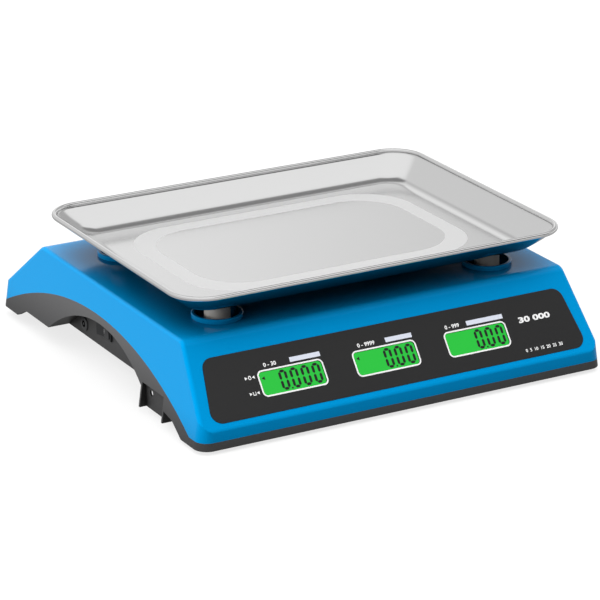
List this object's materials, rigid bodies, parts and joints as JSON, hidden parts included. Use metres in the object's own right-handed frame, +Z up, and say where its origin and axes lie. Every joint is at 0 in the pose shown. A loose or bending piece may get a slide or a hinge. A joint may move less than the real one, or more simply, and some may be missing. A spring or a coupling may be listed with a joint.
{
  "type": "retail price scale",
  "caption": "Price-computing counter scale with a stainless steel pan, a blue housing with customer and operator displays, a keypad and a grey base with hand recesses.",
  "frame": {"origin": "on the supporting surface under the middle of the base", "axes": "+Z up, -Y towards the customer, +Y towards the operator, +X to the customer's right"},
  "size_m": [0.3558, 0.3522, 0.1084],
  "materials": {
    "blue_abs": "fine satin moulding",
    "grey_abs": "fine grained moulding",
    "steel_fasteners": "zinc plated",
    "pan_steel": "polished stainless sheet with a satin band",
    "cast_aluminium": "plain machined and cast",
    "grey_nylon": "moulded",
    "black_rubber": "matt",
    "board_laminate": "solder mask",
    "battery_case": "moulded",
    "black_nylon": "moulded",
    "panel_film": "satin printed film",
    "display_green": "backlit display glass",
    "white_silicone": "matt",
    "key_plastic": "fine matt moulding",
    "level_vial": "clear vial with tinted liquid"
  },
  "bodies": {
    "base": {"upper_housing": "blue_abs", "lower_housing": "grey_abs", "housing_screws": "steel_fasteners", "load_cell": "cast_aluminium", "load_cell_riser": "cast_aluminium", "load_cell_bolts": "steel_fasteners", "overload_stops": "steel_fasteners", "main_board": "board_laminate", "load_cell_cable": "black_rubber", "battery": "battery_case", "power_jack": "black_nylon", "power_switch": "black_nylon", "customer_panel": "panel_film", "operator_panel": "panel_film", "customer_display_weight": "display_green", "customer_display_unit_price": "display_green", "customer_display_total": "display_green", "operator_display_weight": "display_green", "operator_display_unit_price": "display_green", "operator_display_total": "display_green", "customer_board": "board_laminate", "operator_board": "board_laminate", "key_mat": "white_silicone", "bubble_level": "level_vial"},
    "platform": {"load_frame": "cast_aluminium", "load_frame_spacer": "cast_aluminium", "load_frame_bolts": "steel_fasteners", "pan_post_left_front": "grey_nylon", "pan_post_left_rear": "grey_nylon", "pan_post_right_front": "grey_nylon", "pan_post_right_rear": "grey_nylon", "post_pads": "black_rubber"},
    "pan": {"weighing_pan": "pan_steel", "pan_pegs": "pan_steel"},
    "rocker": {"power_rocker": "black_nylon"},
    "door": {"battery_door": "grey_abs"},
    "foot_left_front": {"foot_left_front": "black_rubber"},
    "foot_left_rear": {"foot_left_rear": "black_rubber"},
    "foot_right_front": {"foot_right_front": "black_rubber"},
    "foot_right_rear": {"foot_right_rear": "black_rubber"},
    "key_memory_1": {"key_memory_1": "key_plastic"},
    "key_memory_2": {"key_memory_2": "key_plastic"},
    "key_digit_1": {"key_digit_1": "key_plastic"},
    "key_digit_2": {"key_digit_2": "key_plastic"},
    "key_digit_3": {"key_digit_3": "key_plastic"},
    "key_digit_4": {"key_digit_4": "key_plastic"},
    "key_digit_5": {"key_digit_5": "key_plastic"},
    "key_zero": {"key_zero": "key_plastic"},
    "key_tare": {"key_tare": "key_plastic"},
    "key_light": {"key_light": "key_plastic"},
    "key_memory_3": {"key_memory_3": "key_plastic"},
    "key_memory_4": {"key_memory_4": "key_plastic"},
    "key_digit_6": {"key_digit_6": "key_plastic"},
    "key_digit_7": {"key_digit_7": "key_plastic"},
    "key_digit_8": {"key_digit_8": "key_plastic"},
    "key_digit_9": {"key_digit_9": "key_plastic"},
    "key_digit_0": {"key_digit_0": "key_plastic"},
    "key_point": {"key_point": "key_plastic"},
    "key_clear": {"key_clear": "key_plastic"},
    "key_add": {"key_add": "key_plastic"}
  },
  "joints": [
    {"name": "platform_deflection", "type": "slide", "parent": "base", "child": "platform", "axis": [0, 0, 1], "range_m": [-0.0012, 0], "stiffness_N_per_m": 250000, "springref_m": 0.0002, "deforming": ["load_cell"]},
    {"name": "pan_lift", "type": "slide", "parent": "platform", "child": "pan", "axis": [0, 0, 1], "range_m": [0, 0.06]},
    {"name": "rocker_tilt", "type": "hinge", "parent": "base", "child": "rocker", "pos_m": [-0.158, 0.019, 0.0325], "axis": [0, 0, -1], "range_deg": [0, 18]},
    {"name": "battery_door_slide", "type": "slide", "parent": "base", "child": "door", "axis": [0, 1, 0], "range_m": [0, 0.085]},
    {"name": "foot_left_front_height", "type": "slide", "parent": "base", "child": "foot_left_front", "axis": [0, 0, 1], "range_m": [-0.004, 0.002]},
    {"name": "foot_left_rear_height", "type": "slide", "parent": "base", "child": "foot_left_rear", "axis": [0, 0, 1], "range_m": [-0.004, 0.002]},
    {"name": "foot_right_front_height", "type": "slide", "parent": "base", "child": "foot_right_front", "axis": [0, 0, 1], "range_m": [-0.004, 0.002]},
    {"name": "foot_right_rear_height", "type": "slide", "parent": "base", "child": "foot_right_rear", "axis": [0, 0, 1], "range_m": [-0.004, 0.002]},
    {"name": "key_memory_1_press", "type": "slide", "parent": "base", "child": "key_memory_1", "axis": [0, -0.6225, -0.7826], "range_m": [0, 0.0012], "stiffness_N_per_m": 500},
    {"name": "key_memory_2_press", "type": "slide", "parent": "base", "child": "key_memory_2", "axis": [0, -0.6225, -0.7826], "range_m": [0, 0.0012], "stiffness_N_per_m": 500},
    {"name": "key_digit_1_press", "type": "slide", "parent": "base", "child": "key_digit_1", "axis": [0, -0.6225, -0.7826], "range_m": [0, 0.0012], "stiffness_N_per_m": 500},
    {"name": "key_digit_2_press", "type": "slide", "parent": "base", "child": "key_digit_2", "axis": [0, -0.6225, -0.7826], "range_m": [0, 0.0012], "stiffness_N_per_m": 500},
    {"name": "key_digit_3_press", "type": "slide", "parent": "base", "child": "key_digit_3", "axis": [0, -0.6225, -0.7826], "range_m": [0, 0.0012], "stiffness_N_per_m": 500},
    {"name": "key_digit_4_press", "type": "slide", "parent": "base", "child": "key_digit_4", "axis": [0, -0.6225, -0.7826], "range_m": [0, 0.0012], "stiffness_N_per_m": 500},
    {"name": "key_digit_5_press", "type": "slide", "parent": "base", "child": "key_digit_5", "axis": [0, -0.6225, -0.7826], "range_m": [0, 0.0012], "stiffness_N_per_m": 500},
    {"name": "key_zero_press", "type": "slide", "parent": "base", "child": "key_zero", "axis": [0, -0.6225, -0.7826], "range_m": [0, 0.0012], "stiffness_N_per_m": 500},
    {"name": "key_tare_press", "type": "slide", "parent": "base", "child": "key_tare", "axis": [0, -0.6225, -0.7826], "range_m": [0, 0.0012], "stiffness_N_per_m": 500},
    {"name": "key_light_press", "type": "slide", "parent": "base", "child": "key_light", "axis": [0, -0.6225, -0.7826], "range_m": [0, 0.0012], "stiffness_N_per_m": 500},
    {"name": "key_memory_3_press", "type": "slide", "parent": "base", "child": "key_memory_3", "axis": [0, -0.6225, -0.7826], "range_m": [0, 0.0012], "stiffness_N_per_m": 500},
    {"name": "key_memory_4_press", "type": "slide", "parent": "base", "child": "key_memory_4", "axis": [0, -0.6225, -0.7826], "range_m": [0, 0.0012], "stiffness_N_per_m": 500},
    {"name": "key_digit_6_press", "type": "slide", "parent": "base", "child": "key_digit_6", "axis": [0, -0.6225, -0.7826], "range_m": [0, 0.0012], "stiffness_N_per_m": 500},
    {"name": "key_digit_7_press", "type": "slide", "parent": "base", "child": "key_digit_7", "axis": [0, -0.6225, -0.7826], "range_m": [0, 0.0012], "stiffness_N_per_m": 500},
    {"name": "key_digit_8_press", "type": "slide", "parent": "base", "child": "key_digit_8", "axis": [0, -0.6225, -0.7826], "range_m": [0, 0.0012], "stiffness_N_per_m": 500},
    {"name": "key_digit_9_press", "type": "slide", "parent": "base", "child": "key_digit_9", "axis": [0, -0.6225, -0.7826], "range_m": [0, 0.0012], "stiffness_N_per_m": 500},
    {"name": "key_digit_0_press", "type": "slide", "parent": "base", "child": "key_digit_0", "axis": [0, -0.6225, -0.7826], "range_m": [0, 0.0012], "stiffness_N_per_m": 500},
    {"name": "key_point_press", "type": "slide", "parent": "base", "child": "key_point", "axis": [0, -0.6225, -0.7826], "range_m": [0, 0.0012], "stiffness_N_per_m": 500},
    {"name": "key_clear_press", "type": "slide", "parent": "base", "child": "key_clear", "axis": [0, -0.6225, -0.7826], "range_m": [0, 0.0012], "stiffness_N_per_m": 500},
    {"name": "key_add_press", "type": "slide", "parent": "base", "child": "key_add", "axis": [0, -0.6225, -0.7826], "range_m": [0, 0.0012], "stiffness_N_per_m": 500}
  ]
}
